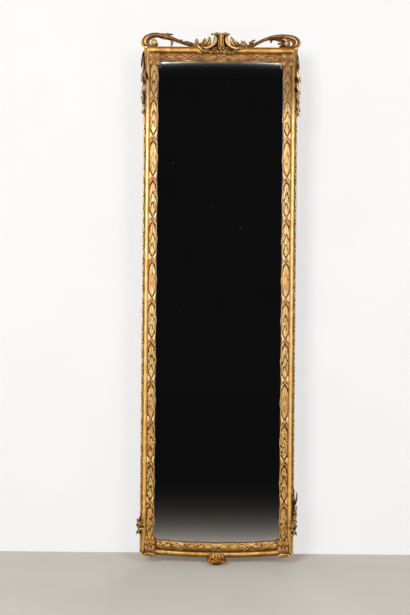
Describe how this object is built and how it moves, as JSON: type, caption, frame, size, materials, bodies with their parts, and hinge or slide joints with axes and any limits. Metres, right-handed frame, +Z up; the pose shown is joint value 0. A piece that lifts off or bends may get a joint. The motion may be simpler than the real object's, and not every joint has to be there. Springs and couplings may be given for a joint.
{
  "type": "pier mirror",
  "caption": "Tall narrow wall mirror in a carved gilt frame with laurel moulding, corner rosettes, scrolled crest, leaf drops, pendant, panelled wooden back and swinging hanger rings.",
  "frame": {"origin": "on the wall plane, at the middle of the frame's width and height, on the middle batten's rear face", "axes": "+X to the viewer's right, +Y into the wall, +Z up; the mirror faces -Y"},
  "size_m": [0.7808, 0.091, 2.5628],
  "materials": {
    "gilt": "worn water gilding over red bole and gesso",
    "mirror": "old silvering with faint foxing",
    "pine": "old unfinished softwood",
    "panel_pine": "old unfinished softwood boards",
    "oak": "darkened oak",
    "steel": "dulled steel"
  },
  "bodies": {
    "frame": {"back_panel_1": "panel_pine", "back_panel_2": "panel_pine", "back_panel_3": "panel_pine", "back_panel_4": "panel_pine", "back_pegs": "oak", "batten_screws": "steel", "bottom_back_rail": "pine", "bottom_laurel": "gilt", "bottom_left_corner_block": "gilt", "bottom_pendant": "gilt", "bottom_rail_moulding": "gilt", "bottom_right_corner_block": "gilt", "brace_screws": "steel", "corner_rosettes": "gilt", "crest_brace": "pine", "crest_palmette": "gilt", "crest_spray": "gilt", "frame_screws": "steel", "glass_blocks": "pine", "hanger_screws": "steel", "left_back_stile": "pine", "left_bead_strip": "gilt", "left_bottom_leaf": "gilt", "left_crest_leaf": "gilt", "left_crest_lobe": "gilt", "left_crest_scroll": "gilt", "left_crest_sprig": "gilt", "left_hanger_strap": "steel", "left_laurel": "gilt", "left_scroll_brace": "pine", "left_stile_moulding": "gilt", "lower_back_rail": "pine", "lower_batten": "pine", "lower_left_drop": "gilt", "lower_right_drop": "gilt", "middle_back_rail": "pine", "middle_batten": "pine", "mirror_plate": "mirror", "right_back_stile": "pine", "right_bead_strip": "gilt", "right_bottom_leaf": "gilt", "right_crest_leaf": "gilt", "right_crest_lobe": "gilt", "right_crest_scroll": "gilt", "right_crest_sprig": "gilt", "right_hanger_strap": "steel", "right_laurel": "gilt", "right_scroll_brace": "pine", "right_stile_moulding": "gilt", "top_back_rail": "pine", "top_laurel": "gilt", "top_left_corner_block": "gilt", "top_rail_moulding": "gilt", "top_right_corner_block": "gilt", "upper_back_rail": "pine", "upper_batten": "pine", "upper_left_drop": "gilt", "upper_right_drop": "gilt"},
    "left_ring": {"left_hanger_ring": "steel"},
    "right_ring": {"right_hanger_ring": "steel"}
  },
  "joints": [
    {"name": "left_ring_swing", "type": "hinge", "parent": "frame", "child": "left_ring", "pos_m": [-0.31, -0.01, 0.88], "axis": [1, 0, 0], "range_deg": [0, 180]},
    {"name": "right_ring_swing", "type": "hinge", "parent": "frame", "child": "right_ring", "pos_m": [0.31, -0.01, 0.88], "axis": [1, 0, 0], "range_deg": [0, 180]}
  ]
}
